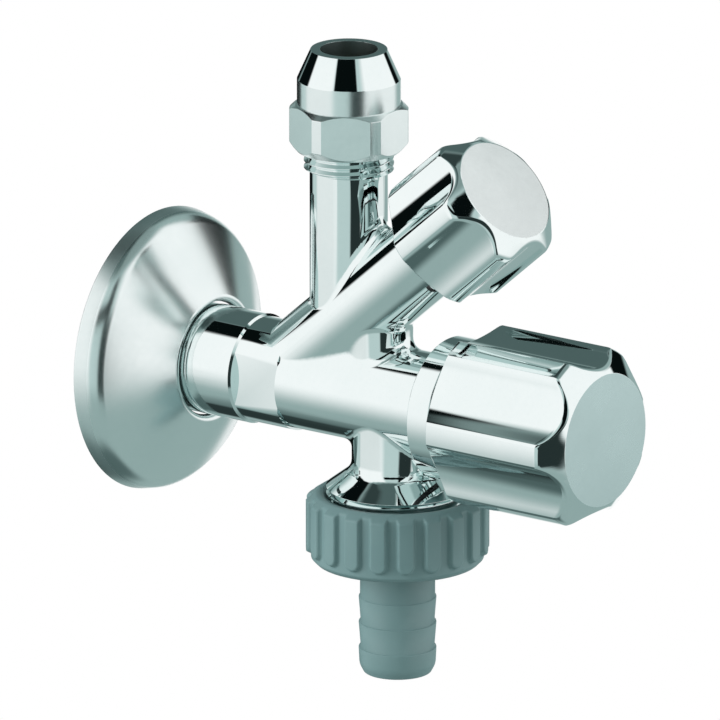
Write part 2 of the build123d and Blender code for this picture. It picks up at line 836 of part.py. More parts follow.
# Backflow cartridge: housing with its port on top and a spider that guides the stem below
port_end = cartridge_start + cartridge_top
spider_start = hose_thread_end - spider_thickness
cartridge_groove = cartridge_radius - 2 * cartridge_seal_radius
cartridge_bore = cartridge_groove - cartridge_groove_floor
cartridge_seal_station = port_end + cartridge_seal_radius
with BuildPart() as check_valve_housing:
    turn(hose_run, [
        (cartridge_start, cartridge_port_radius),
        (cartridge_start, cartridge_radius),
        (hose_thread_end, cartridge_radius),
        (hose_thread_end, cartridge_bore),
        (port_end, cartridge_bore),
        (port_end, cartridge_port_radius),
    ])
    with BuildSketch(across(hose_run, spider_start)):
        Circle(spider_hub_radius)
        with PolarLocations(cartridge_radius / 2, spider_arm_count):
            Rectangle(cartridge_radius - cartridge_groove_floor, spider_arm_width)
        Circle(poppet_stem_radius + guide_clearance, mode=Mode.SUBTRACT)
    extrude(amount=spider_thickness)
    turn(hose_run, [
        (cartridge_seal_station - cartridge_seal_radius - running_clearance, cartridge_groove),
        (cartridge_seal_station - cartridge_seal_radius - running_clearance, 2 * cartridge_radius),
        (cartridge_seal_station + cartridge_seal_radius + running_clearance, 2 * cartridge_radius),
        (cartridge_seal_station + cartridge_seal_radius + running_clearance, cartridge_groove),
    ], Mode.SUBTRACT)
check_valve_housing.part.label = "check_valve_housing"
export_step(check_valve_housing.part, "parts/check_valve_housing.step")

# O-ring round the cartridge
with BuildPart() as check_valve_seal:
    turn_ring(
        hose_run, cartridge_seal_station, cartridge_groove + cartridge_seal_radius, cartridge_seal_radius,
    )
check_valve_seal.part.label = "check_valve_seal"
export_step(check_valve_seal.part, "parts/check_valve_seal.step")

# Poppet that the outflow lifts off the port
poppet_start = port_end + seat_gap
poppet_end = poppet_start + poppet_thickness
stem_end = hose_thread_end + poppet_stem_overhang
with BuildPart() as check_valve_poppet:
    turn(hose_run, [
        (poppet_start, 0),
        (poppet_start, poppet_radius),
        (poppet_end, poppet_radius),
        (poppet_end, poppet_stem_radius),
        (stem_end, poppet_stem_radius),
        (stem_end, 0),
    ])
check_valve_poppet.part.label = "check_valve_poppet"
export_step(check_valve_poppet.part, "parts/check_valve_poppet.step")

# Spring between the poppet and the spider, wound upwards from the spider
coil_end = spider_start - running_clearance - spring_wire_radius
coil_length = coil_end - spring_wire_radius - running_clearance - poppet_end
with BuildPart() as check_valve_spring:
    with BuildLine(Plane((0, -hose_outlet_station, -coil_end))):
        coil = Helix(coil_length / spring_turns, coil_length, spring_radius)
    with BuildSketch(Plane(coil @ 0, z_dir=coil % 0)):
        Circle(spring_wire_radius)
    sweep(path=coil, is_frenet=True)
check_valve_spring.part.label = "check_valve_spring"
export_step(check_valve_spring.part, "parts/check_valve_spring.step")
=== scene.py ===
"""Combination angle valve: chrome plate, moulded plastic, screw threads and a studio round the frame."""
import json
from math import acos, atan2, ceil, cos, hypot, pi, radians, sin, sqrt
import bmesh
import bpy
from mathutils import Matrix, Vector


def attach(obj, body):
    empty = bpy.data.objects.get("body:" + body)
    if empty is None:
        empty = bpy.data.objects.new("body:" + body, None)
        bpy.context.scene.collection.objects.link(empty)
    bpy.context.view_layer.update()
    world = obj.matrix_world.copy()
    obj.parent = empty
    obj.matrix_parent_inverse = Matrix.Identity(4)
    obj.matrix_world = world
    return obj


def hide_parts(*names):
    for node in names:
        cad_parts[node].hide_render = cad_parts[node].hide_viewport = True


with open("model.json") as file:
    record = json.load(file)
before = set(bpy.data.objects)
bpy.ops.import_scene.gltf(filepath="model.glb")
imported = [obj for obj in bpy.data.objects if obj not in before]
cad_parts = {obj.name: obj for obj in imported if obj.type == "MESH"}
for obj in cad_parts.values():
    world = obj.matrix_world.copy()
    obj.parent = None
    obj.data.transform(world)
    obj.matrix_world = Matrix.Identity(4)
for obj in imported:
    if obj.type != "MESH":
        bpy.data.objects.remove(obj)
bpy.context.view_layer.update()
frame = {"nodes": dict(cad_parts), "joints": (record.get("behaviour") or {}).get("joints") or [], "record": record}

bl_info = {
    "name": "Combination angle valve",
    "version": (1, 0, 0),
    "blender": (4, 5, 0),
    "location": "3D View > Sidebar > Valve",
    "description": "Dresses the frame of a combination angle valve with its finished surfaces",
    "category": "Object",
}

# Tolerances of the modelling, in metres
weld = 1e-6
reading = 1e-5

# Steps of the turned pieces
turned_steps = 144
corner_segments = 5
flute_steps = 28
land_steps = 10
dome_rings = 4
edge_rings = 5
flat_steps = 16
corner_steps = 4
rib_steps = 24
nut_wall_steps = 48
thread_steps = 96

# Rounded edges: segments, and the least bend in degrees that counts as an edge
edge_segments = 3
turned_bend = 15
thread_bend = 25
casting_bend = 35

# Depth of a thread's groove and width of its crest, as shares of the pitch
groove_depth = 0.64
crest_width = 0.12

# Depth of the turning lines in the plating, in metres
turning_depth = 2e-7

# Distance of the fill lamps, as a share of the tent's radius
lamp_reach = 0.8

full_turn = 2 * pi
sixth = full_turn / 6

joints = {joint["name"]: joint for joint in frame["joints"]}


def run_at(joint, origin):
    """Lays local Z on a joint's axis and local X on the frame's X, counted from an origin."""
    along = Vector(joints[joint]["axis"]).normalized()
    side = Vector((1, 0, 0))
    basis = Matrix((side, along.cross(side), along)).transposed().to_4x4()
    return Matrix.Translation(origin) @ basis


def level_with_inlet(joint):
    """The point of an upright joint's axis at the height of the inlet's centre line."""
    x, y = joints[joint]["pos_m"][:2]
    return Vector((x, y, 0))


# Centre lines, counted from the wall, from the branch's root and from the main run
main_run = run_at("appliance_turn", (0, 0, 0))
branch_run = run_at("basin_turn", joints["basin_turn"]["pos_m"])
top_run = run_at("compression_turn", level_with_inlet("compression_turn"))
hose_run = run_at("union_turn", level_with_inlet("union_turn"))


def length(name, description, default):
    """A size in metres that the sidebar shows in the scene's unit."""
    return bpy.props.FloatProperty(
        name=name, description=description, default=default, precision=5, unit="LENGTH", subtype="DISTANCE",
    )


def turn(name, description, default):
    """An angle that the sidebar shows in degrees."""
    return bpy.props.FloatProperty(
        name=name, description=description, default=radians(default), unit="ROTATION", subtype="ANGLE",
    )


def tint(name, description, default):
    """A linear colour."""
    return bpy.props.FloatVectorProperty(
        name=name, description=description, default=default, size=3, min=0.0, max=1.0, subtype="COLOR",
    )


class ThreadSizes(bpy.types.PropertyGroup):
    """Pipe threads of the body"""
    inlet_length: length("Inlet length", "Length of the thread behind the wall plane", 0.012)
    inlet_radius: length("Inlet radius", "Major radius of the wall thread", 0.01048)
    inlet_bore: length("Inlet bore", "Radius of the waterway in the wall thread", 0.0055)
    top_start: length("Top start", "Height where the compression thread begins", 0.0419)
    top_end: length("Top end", "Height where the compression thread ends", 0.056)
    top_radius: length("Top radius", "Major radius of the compression thread", 0.00833)
    top_bore: length("Top bore", "Radius of the pipe socket", 0.0051)
    hose_start: length("Hose start", "Depth where the hose thread begins", 0.017)
    hose_end: length("Hose end", "Depth where the hose thread ends", 0.025)
    hose_radius: length("Hose radius", "Major radius of the hose thread", 0.01322)
    hose_bore: length("Hose bore", "Radius of the backflow cartridge's seat", 0.00945)
    coarse_pitch: length("Coarse pitch", "Pitch of the wall and hose threads", 0.001814)
    fine_pitch: length("Fine pitch", "Pitch of the compression thread", 0.001337)
    overlap: length("Overlap", "How far a threaded end reaches into the casting", 0.0001)


class RoundingSizes(bpy.types.PropertyGroup):
    """Edges broken by tumbling, polishing and moulding"""
    casting_edge: length("Casting edge", "Rounding of the body's machined edges", 0.00018)
    turned_edge: length("Turned edge", "Rounding of turned brass edges", 0.0002)
    handle_edge: length("Handle edge", "Rounding of the die-cast handles' edges", 0.0009)
    moulded_edge: length("Moulded edge", "Rounding of the plastic pieces' edges", 0.0003)


class RosetteSizes(bpy.types.PropertyGroup):
    """Sliding rosette"""
    shoulder_radius: length("Shoulder radius", "Radius where the rim meets the dish", 0.0257)
    shoulder_depth: length("Shoulder depth", "Distance of the shoulder from the wall", 0.0044)
    shoulder_bend: length("Shoulder bend", "Length of the bend at the shoulder", 0.0018)
    lip_bend: length("Lip bend", "Length of the bend where the lip rolls over", 0.0012)
    lip_radius: length("Lip radius", "Radius of the hole in the lip", 0.01055)
    lip_depth: length("Lip depth", "How far the lip turns back along the neck", 0.0018)
    wall: length("Wall", "Thickness of the sheet", 0.0011)


class HandleSizes(bpy.types.PropertyGroup):
    """Flutes of the two handles"""
    appliance_flute_radius: length("Front flute radius", "Radius of the front handle's flutes", 0.0112)
    appliance_flute_depth: length("Front flute depth", "Depth of the front handle's flutes", 0.0032)
    appliance_turn: turn("Front handle turn", "How far the front handle's flutes are turned", 0.0)
    basin_flute_radius: length("Oblique flute radius", "Radius of the oblique handle's flutes", 0.0104)
    basin_flute_depth: length("Oblique flute depth", "Depth of the oblique handle's flutes", 0.0024)
    basin_turn: turn("Oblique handle turn", "How far the oblique handle's flutes are turned", -3.5)
    dome: length("Dome", "How far the handles' faces fall to their edges", 0.0002)


class NutSizes(bpy.types.PropertyGroup):
    """Compression nut, union nut and hose tail"""
    across_flats: length("Across flats", "Width of the compression nut's hexagon", 0.020)
    hexagon_turn: turn("Hexagon turn", "How far the hexagon is turned", 3.5)
    hexagon_height: length("Hexagon height", "Height of the hexagon", 0.0087)
    lower_bevel: length("Lower bevel", "Height of the hexagon's lower bevel", 0.0015)
    upper_bevel: length("Upper bevel", "Height of the hexagon's upper bevel", 0.0009)
    upper_radius: length("Upper radius", "Radius of the hexagon's upper face", 0.0099)
    barrel_radius: length("Barrel radius", "Radius of the round part over the hexagon", 0.0096)
    barrel_height: length("Barrel height", "Height of the round part over the hexagon", 0.0048)
    thread_room: length("Thread room", "Radius inside the compression nut", 0.00848)
    throat: length("Throat", "Depth of the pipe hole under the nut's rim", 0.0032)
    rib_count: bpy.props.IntProperty(name="Ribs", description="Ribs round the union nut", default=20, min=3)
    rib_turn: turn("Rib turn", "How far the union nut's ribs are turned", -6.0)
    rib_width: length("Rib width", "Width of a rib on the union nut", 0.003)
    rib_start: length("Rib start", "Depth where the ribs begin", 0.0196)
    rib_length: length("Rib length", "Length of a rib with its rounded end", 0.0098)
    rib_softness: length("Rib softness", "Width over which a rib rises", 0.0005)
    core_radius: length("Core radius", "Radius of the union nut between its ribs", 0.016)
    top_bevel: length("Top bevel", "Height of the union nut's upper bevel", 0.0013)
    foot_bevel: length("Foot bevel", "Height of the union nut's lower bevel", 0.0018)
    union_bore: length("Union bore", "Radius of the union nut's thread", 0.01337)
    union_lip: length("Union lip", "Thickness of the lip under the tail's flange", 0.0022)
    flange: length("Flange", "Thickness of the tail's flange", 0.002)
    tail_neck: length("Tail neck", "Radius of the tail above its barbs", 0.00695)
    tail_bore: length("Tail bore", "Radius of the tail's bore", 0.005)
    barb_start: length("Barb start", "Depth of the first barb", 0.0382)
    barb_pitch: length("Barb pitch", "Distance between barbs", 0.00485)
    barb_count: bpy.props.IntProperty(name="Barbs", description="Barbs on the hose tail", default=3, min=1)
    barb_radius: length("Barb radius", "Radius over a barb", 0.0072)
    barb_valley: length("Barb valley", "Radius just above a barb", 0.00682)
    tip_radius: length("Tip radius", "Radius of the tail's tip", 0.0062)
    tip_shoulder: length("Tip shoulder", "Radius where the tail's tip begins to round in", 0.00705)
    tip_bevel: length("Tip bevel", "Height over which the tail's tip rounds in", 0.0016)


class Finishes(bpy.types.PropertyGroup):
    """Colours and gloss"""
    chrome: tint("Chrome", "Colour of the plating", (0.88, 0.94, 0.935))
    chrome_haze: tint("Chrome haze", "Colour of the plating under a faint bloom", (0.84, 0.91, 0.905))
    satin: tint("Satin", "Colour of the handles' satin faces", (0.52, 0.66, 0.655))
    plastic: tint("Plastic", "Colour of the moulded nut and tail", (0.164, 0.270, 0.274))
    plastic_pale: tint("Pale plastic", "Colour of the plastic's paler flow marks", (0.186, 0.296, 0.300))
    brass: tint("Brass", "Colour of bare brass", (0.62, 0.44, 0.17))
    rubber: tint("Rubber", "Colour of seals and washers", (0.018, 0.018, 0.019))
    white_plastic: tint("White plastic", "Colour of the backflow cartridge", (0.74, 0.75, 0.73))
    steel: tint("Steel", "Colour of the spring and clips", (0.50, 0.51, 0.52))


class StudioSettings(bpy.types.PropertyGroup):
    """Camera and light tent"""
    azimuth: turn("Azimuth", "Bearing of the camera round the valve", -53.3)
    elevation: turn("Elevation", "Height of the camera over the horizon", 16.3)
    distance: length("Distance", "Distance of the camera", 6.0)
    lens: bpy.props.FloatProperty(
        name="Lens", description="Focal length on a 36 mm sensor", default=1626.0, unit="CAMERA",
    )
    aim: bpy.props.FloatVectorProperty(
        name="Aim", description="Point in the middle of the picture", default=(0, -0.04624, 0.00555), size=3,
        subtype="TRANSLATION", unit="LENGTH",
    )
    tent_radius: length("Tent radius", "Radius of the light tent", 1.2)
    floor_depth: length("Floor depth", "Distance of the floor under the inlet", 0.38)
    floor_radius: length("Floor radius", "Radius of the floor", 0.15)
    floor: tint("Floor", "Colour of the floor", (0.8, 0.8, 0.8))
    fabric: tint("Fabric", "Light of the tent's white panels", (1.0, 1.0, 1.0))
    pale: tint("Pale card", "Light of the pale card in front", (0.52, 0.64, 0.63))
    card: tint("Card", "Light of the grey-green cards", (0.31, 0.415, 0.405))
    shadow: tint("Shadow", "Light of the unlit table and corners", (0.08, 0.125, 0.122))
    flag: tint("Flag", "Light of the black flags", (0.002, 0.004, 0.004))
    fill: bpy.props.FloatProperty(
        name="Fill", description="Power of the left fill lamp", default=6.0, unit="POWER",
    )


class Turned:
    """Stations and radii of a CAD node's corners about a centre line."""

    def __init__(self, node, run):
        back = run.inverted()
        points = [back @ vert.co for vert in frame["nodes"][node].data.vertices]
        self.points = [(point.z, hypot(point.x, point.y)) for point in points]
        self.start = min(station for station, radius in self.points)
        self.end = max(station for station, radius in self.points)
        self.radius = max(radius for station, radius in self.points)

    def radii_at(self, place):
        return [radius for station, radius in self.points if abs(station - place) < reading]

    def stations_at(self, reach):
        return [station for station, radius in self.points if abs(radius - reach) < reading]


def lathe(bm, outline, steps=turned_steps):
    """Spins an outline of (station, radius, rounding) corners, closed unless it starts on the axis."""
    ring = bm.verts.layers.int.get("ring") or bm.verts.layers.int.new("ring")
    corners = []
    for number, (station, radius, rounding) in enumerate(outline):
        corner = bm.verts.new((radius, 0, station))
        corner[ring] = number
        corners.append(corner)
    for pair in zip(corners, corners[1:]):
        bm.edges.new(pair)
    if outline[0][1] > 0:
        bm.edges.new((corners[-1], corners[0]))
    for corner, (station, radius, rounding) in zip(corners, outline):
        if rounding:
            bmesh.ops.bevel(
                bm, geom=[corner], offset=rounding, offset_type="OFFSET", segments=corner_segments,
                profile=0.5, affect="VERTICES", material=-1,
            )
    bmesh.ops.spin(
        bm, geom=bm.verts[:] + bm.edges[:], cent=(0, 0, 0), axis=(0, 0, 1), dvec=(0, 0, 0),
        angle=full_turn, steps=steps, use_merge=True,
    )


def press(steps, rings, place):
    """Spins a shape and moves its corners to the bearing, station and radius that place gives them."""
    bm = bmesh.new()
    lathe(bm, [(*place(0, number)[1:], 0) for number in range(rings)], steps)
    ring = bm.verts.layers.int["ring"]
    for vert in bm.verts:
        step = round(atan2(vert.co.y, vert.co.x) / full_turn * steps) % steps
        bearing, station, radius = place(step, vert[ring])
        vert.co = (radius * cos(bearing), radius * sin(bearing), station)
    return bm


def paint(bm, choose):
    """Gives each face the finish that is chosen by the first and last ring of its corners."""
    ring = bm.verts.layers.int["ring"]
    for face in bm.faces:
        rings = [vert[ring] for vert in face.verts]
        face.material_index = choose(min(rings), max(rings))


def trim(bm, point, outward):
    """Cuts off what lies outside a plane and returns the edges of the cut."""
    cut = bmesh.ops.bisect_plane(
        bm, geom=bm.verts[:] + bm.edges[:] + bm.faces[:], dist=weld, plane_co=point, plane_no=outward,
        clear_outer=True,
    )
    return [edge for edge in cut["geom_cut"] if isinstance(edge, bmesh.types.BMEdge)]


def sector_bearing(step, half_face, face_steps, edge_steps, first):
    """Bearing of a step, and its offset from its face's middle, on a section of six faces and six lands."""
    sector, part = divmod(step, face_steps + edge_steps)
    if part <= face_steps:
        offset = half_face * (2 * part / face_steps - 1)
    else:
        offset = half_face + (sixth - 2 * half_face) * (part - face_steps) / edge_steps
    return first + sector * sixth + offset, offset


def settle(bm, name, run, *finishes):
    """Welds a shape's seams, turns its faces outward and puts it on its run as an object."""
    bmesh.ops.remove_doubles(bm, verts=bm.verts[:], dist=weld)
    bmesh.ops.transform(bm, matrix=run, verts=bm.verts[:])
    bmesh.ops.recalc_face_normals(bm, faces=bm.faces[:])
    for face in bm.faces:
        face.smooth = True
    mesh = bpy.data.meshes.new(name)
    bm.to_mesh(mesh)
    bm.free()
    for finish in finishes:
        mesh.materials.append(material(finish))
    piece = bpy.data.objects.new(name, mesh)
    bpy.context.scene.collection.objects.link(piece)
    return piece


def round_edges(piece, width, bend=turned_bend):
    """Rounds the crisp edges of a piece and keeps its flats flat."""
    bevel = piece.modifiers.new("rounded_edges", "BEVEL")
    bevel.width = width
    bevel.segments = edge_segments
    bevel.profile = 0.5
    bevel.limit_method = "ANGLE"
    bevel.angle_limit = radians(bend)
    bevel.harden_normals = True


def dress(piece, body, slot, *nodes):
    """Makes a piece ride on its body and lets it stand for CAD nodes."""
    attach(piece, body)
    if nodes:
        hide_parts(*nodes)


def add_node(tree, kind, **settings):
    """Adds a shader node and sets its properties."""
    node = tree.nodes.new(kind)
    for name, value in settings.items():
        setattr(node, name, value)
    return node


def math_node(tree, operation, first, second=None):
    """Joins two sockets or numbers with a Math node and returns its output."""
    node = add_node(tree, "ShaderNodeMath", operation=operation)
    for socket, value in zip(node.inputs, (first, second)):
        if isinstance(value, bpy.types.NodeSocket):
            tree.links.new(value, socket)
        elif value is not None:
            socket.default_value = value
    return node.outputs["Value"]


def remap(tree, value, low, high, to_low=0.0, to_high=1.0, smooth=False):
    """Maps a value from one range onto another."""
    node = add_node(tree, "ShaderNodeMapRange", interpolation_type="SMOOTHSTEP" if smooth else "LINEAR")
    tree.links.new(value, node.inputs["Value"])
    node.inputs["From Min"].default_value = low
    node.inputs["From Max"].default_value = high
    node.inputs["To Min"].default_value = to_low
    node.inputs["To Max"].default_value = to_high
    return node.outputs["Result"]


def mix_colours(tree, mask, first, second):
    """Mixes two colours, each a socket or a linear colour, by a mask."""
    node = add_node(tree, "ShaderNodeMix", data_type="RGBA")
    tree.links.new(mask, node.inputs["Factor"])
    for socket, value in ((node.inputs[6], first), (node.inputs[7], second)):
        if isinstance(value, bpy.types.NodeSocket):
            tree.links.new(value, socket)
        else:
            socket.default_value = (*value, 1.0)
    return node.outputs[2]


def new_group(name, size, default, outputs):
    """Starts a node group with a vector input, a named size with its default, and float outputs."""
    tree = bpy.data.node_groups.new(name, "ShaderNodeTree")
    tree.interface.new_socket("Vector", in_out="INPUT", socket_type="NodeSocketVector")
    socket = tree.interface.new_socket(size, in_out="INPUT", socket_type="NodeSocketFloat")
    socket.default_value = default
    for label in outputs:
        tree.interface.new_socket(label, in_out="OUTPUT", socket_type="NodeSocketFloat")
    return tree, tree.nodes.new("NodeGroupInput"), tree.nodes.new("NodeGroupOutput")


def noise(tree, vector, scale, detail, roughness=0.5):
    """Adds a noise texture whose scale is a socket."""
    node = add_node(tree, "ShaderNodeTexNoise")
    tree.links.new(vector, node.inputs["Vector"])
    tree.links.new(scale, node.inputs["Scale"])
    node.inputs["Detail"].default_value = detail
    node.inputs["Roughness"].default_value = roughness
    return node.outputs["Fac"]


def polish_group():
    """Cloudy polish: a mask of broad bloom with finer specks in it."""
    tree, given, result = new_group("cloudy_polish", "Scale", 70.0, ["Mask"])
    broad = noise(tree, given.outputs["Vector"], given.outputs["Scale"], 3.0)
    fine_scale = math_node(tree, "MULTIPLY", given.outputs["Scale"], 14.0)
    fine = noise(tree, given.outputs["Vector"], fine_scale, 2.0)
    shares = [math_node(tree, "MULTIPLY", part, share) for part, share in ((broad, 0.75), (fine, 0.25))]
    blend = math_node(tree, "ADD", *shares)
    tree.links.new(remap(tree, blend, 0.35, 0.65), result.inputs["Mask"])
    return tree


def lines_group():
    """Turning lines: fine rings about local Z, uneven in depth."""
    tree, given, result = new_group("turning_lines", "Lines", 9000.0, ["Height"])
    axes = add_node(tree, "ShaderNodeSeparateXYZ")
    tree.links.new(given.outputs["Vector"], axes.inputs["Vector"])
    squares = [math_node(tree, "POWER", axes.outputs[axis], 2.0) for axis in ("X", "Y")]
    radius = math_node(tree, "SQRT", math_node(tree, "ADD", *squares))
    across = math_node(tree, "ADD", radius, axes.outputs["Z"])
    lines = add_node(tree, "ShaderNodeTexNoise", noise_dimensions="1D")
    tree.links.new(math_node(tree, "MULTIPLY", across, given.outputs["Lines"]), lines.inputs["W"])
    lines.inputs["Scale"].default_value = 1.0
    lines.inputs["Detail"].default_value = 2.0
    tree.links.new(lines.outputs["Fac"], result.inputs["Height"])
    return tree


def grain_group():
    """Moulded grain: a spark-eroded height and a mask of slow flow marks."""
    tree, given, result = new_group("moulded_grain", "Grain", 2600.0, ["Height", "Flow"])
    grain = noise(tree, given.outputs["Vector"], given.outputs["Grain"], 3.0, 0.6)
    flow_scale = math_node(tree, "DIVIDE", given.outputs["Grain"], 40.0)
    flow = noise(tree, given.outputs["Vector"], flow_scale, 4.0)
    tree.links.new(grain, result.inputs["Height"])
    tree.links.new(remap(tree, flow, 0.35, 0.65), result.inputs["Flow"])
    return tree


def place_group(tree, group, vector):
    """Puts a node group in a material."""
    node = add_node(tree, "ShaderNodeGroup", node_tree=group)
    tree.links.new(vector, node.inputs["Vector"])
    return node.outputs


def new_material(name, metallic, run=None):
    """Starts a Principled material that reads Object coordinates, turned onto a run where it has one."""
    made = bpy.data.materials.new(name)
    made.use_nodes = True
    tree = made.node_tree
    shader = tree.nodes["Principled BSDF"]
    shader.inputs["Metallic"].default_value = metallic
    vector = add_node(tree, "ShaderNodeTexCoord").outputs["Object"]
    if run is not None:
        back = run.inverted()
        mapping = add_node(tree, "ShaderNodeMapping")
        mapping.inputs["Location"].default_value = back.to_translation()
        mapping.inputs["Rotation"].default_value = back.to_euler()
        tree.links.new(vector, mapping.inputs["Vector"])
        vector = mapping.outputs["Vector"]
    return tree, shader, vector


def bump(tree, shader, height, distance):
    """Feeds a height into a shader's normal."""
    node = add_node(tree, "ShaderNodeBump")
    node.inputs["Distance"].default_value = distance
    node.inputs["Strength"].default_value = 1.0
    tree.links.new(height, node.inputs["Height"])
    tree.links.new(node.outputs["Normal"], shader.inputs["Normal"])


def plated(name, polish, lines, colours, gloss, run):
    """Plated or bare metal that follows the polish, with turning lines where it has a run."""
    tree, shader, vector = new_material(name, 1.0, run)
    mask = place_group(tree, polish, vector)["Mask"]
    tree.links.new(mix_colours(tree, mask, *colours), shader.inputs["Base Color"])
    tree.links.new(remap(tree, mask, 0.0, 1.0, *gloss), shader.inputs["Roughness"])
    if run is not None:
        bump(tree, shader, place_group(tree, lines, vector)["Height"], turning_depth)


def moulded(name, grain, colours, gloss, depth):
    """Moulded plastic or rubber: slow flow marks in its colour and a fine grain on its surface."""
    tree, shader, vector = new_material(name, 0.0)
    outputs = place_group(tree, grain, vector)
    tree.links.new(mix_colours(tree, outputs["Flow"], *colours), shader.inputs["Base Color"])
    tree.links.new(remap(tree, outputs["Flow"], 0.0, 1.0, *gloss), shader.inputs["Roughness"])
    bump(tree, shader, outputs["Height"], depth)


def shade(colour, factor):
    """A colour made darker or paler."""
    return [min(channel * factor, 1.0) for channel in colour]


def make_materials(finish):
    """Builds each finish once: its two colours, its span of roughness, and its run or its grain's depth."""
    chrome = (finish.chrome, finish.chrome_haze)
    satin = (finish.satin, shade(finish.satin, 0.95))
    # Paler copy of the satin face for the oblique handle's upper face: painted light
    lit_satin = (shade(finish.chrome, 0.86), shade(finish.chrome, 0.82))
    # Darker copy of the satin: painted shade inside the rosette's lip and the nut's throat
    hollow_shade = (shade(finish.satin, 0.5), shade(finish.satin, 0.4))
    brass = (finish.brass, shade(finish.brass, 0.85))
    steel = (finish.steel, shade(finish.steel, 0.85))
    grey = (finish.plastic, finish.plastic_pale)
    white = (finish.white_plastic, shade(finish.white_plastic, 0.94))
    black = (finish.rubber, shade(finish.rubber, 1.6))
    mirror = (0.02, 0.05)
    metals = (
        ("chrome_casting", chrome, mirror, None),
        ("chrome_rosette", chrome, (0.19, 0.23), main_run),
        ("satin_rim", chrome, (0.28, 0.34), main_run),
        ("chrome_collar", chrome, mirror, main_run),
        ("chrome_oblique", chrome, mirror, branch_run),
        ("chrome_nut", chrome, mirror, top_run),
        ("satin_nut", chrome, (0.20, 0.26), top_run),
        ("chrome_handle", chrome, (0.03, 0.06), None),
        ("satin_face", satin, (0.26, 0.32), main_run),
        ("satin_oblique", lit_satin, (0.20, 0.26), branch_run),
        ("painted_shade_inside", hollow_shade, (0.4, 0.5), None),
        ("turned_brass", brass, (0.22, 0.34), None),
        ("drawn_steel", steel, (0.20, 0.32), None),
    )
    mouldings = (
        ("moulded_grey", grey, (0.36, 0.46), 6e-6),
        ("moulded_rubber", black, (0.55, 0.7), 8e-6),
        ("moulded_white", white, (0.3, 0.4), 3e-6),
    )
    polish = polish_group()
    lines = lines_group()
    grain = grain_group()
    for name, *values in metals:
        plated(name, polish, lines, *values)
    for name, *values in mouldings:
        moulded(name, grain, *values)


def material(name):
    """A finish that was made before."""
    found = bpy.data.materials.get(name)
    if found is None:
        raise RuntimeError(f"the finish {name} is missing; run the finishes operator first")
    return found


class VALVE_OT_finishes(bpy.types.Operator):
    """Makes every finish and gives the pieces of the frame theirs"""
    bl_idname = "valve.finishes"
    bl_label = "Finishes and inner pieces"

    def execute(self, context):
        make_materials(context.scene.valve_finishes)
        finishes = {
            "chromed_brass": "chrome_casting",
            "chromed_zinc": "chrome_handle",
            "brass": "turned_brass",
            "spring_steel": "drawn_steel",
            "grey_plastic": "moulded_grey",
            "black_rubber": "moulded_rubber",
            "white_plastic": "moulded_white",
        }
        for row in frame["record"]["subparts"]:
            node = frame["nodes"][row["node"]]
            node.data.materials.clear()
            node.data.materials.append(material(finishes[row["material_slot"]]))
        return {"FINISHED"}


class VALVE_OT_casting(bpy.types.Operator):
    """Takes the cast body with its fillets, trims its threaded ends and rounds its machined edges"""
    bl_idname = "valve.casting"
    bl_label = "Cast body"

    def execute(self, context):
        threads = context.scene.valve_threads
        ends = (
            (main_run, threads.overlap / 2, -1),
            (top_run, threads.top_start - threads.overlap / 2, 1),
            (hose_run, threads.hose_start + threads.overlap / 2, 1),
        )
        bm = bmesh.new()
        bm.from_mesh(frame["nodes"]["valve_body"].data)
        bmesh.ops.remove_doubles(bm, verts=bm.verts[:], dist=weld)
        for run, station, side in ends:
            along = run.to_3x3() @ Vector((0, 0, 1))
            rims = trim(bm, run.to_translation() + along * station, along * side)
            bmesh.ops.bridge_loops(bm, edges=rims)
        casting = settle(bm, "body_casting", Matrix.Identity(4), "chrome_casting")
        stored_normals = casting.data.attributes.get("custom_normal")
        if stored_normals:
            casting.data.attributes.remove(stored_normals)
        round_edges(casting, context.scene.valve_rounding.casting_edge, casting_bend)
        weighted = casting.modifiers.new("even_normals", "WEIGHTED_NORMAL")
        weighted.keep_sharp = True
        dress(casting, "body", "chromed_brass", "valve_body")
        return {"FINISHED"}


def screw_thread(bm, start, end, radius, pitch, bore):
    """Spins a toothed outline one turn as it climbs one pitch, trims it square and closes it round a bore."""
    depth = groove_depth * pitch
    crest = crest_width * pitch
    teeth = ceil((end - start) / pitch) + 2
    outline = []
    for tooth in range(teeth):
        foot = start + (tooth - 1) * pitch
        outline += [(foot, radius), (foot + crest, radius), (foot + pitch / 2, radius - depth)]
        outline += [(foot + pitch / 2 + crest, radius - depth)]
    corners = [bm.verts.new((reach, 0, station)) for station, reach in outline]
    for pair in zip(corners, corners[1:]):
        bm.edges.new(pair)
    bmesh.ops.spin(
        bm, geom=bm.verts[:] + bm.edges[:], cent=(0, 0, 0), axis=(0, 0, 1), dvec=(0, 0, pitch / thread_steps),
        angle=full_turn, steps=thread_steps, use_merge=False,
    )
    bmesh.ops.remove_doubles(bm, verts=bm.verts[:], dist=weld)
    inner_rims = []
    for station, side in ((start, -1), (end, 1)):
        rim = trim(bm, (0, 0, station), (0, 0, side))
        grown = bmesh.ops.extrude_edge_only(bm, edges=rim)["geom"]
        for vert in (part for part in grown if isinstance(part, bmesh.types.BMVert)):
            vert.co.xy *= bore / hypot(vert.co.x, vert.co.y)
        inner_rims += [part for part in grown if isinstance(part, bmesh.types.BMEdge)]
    bmesh.ops.bridge_loops(bm, edges=[edge for edge in inner_rims if len(edge.link_faces) == 1])


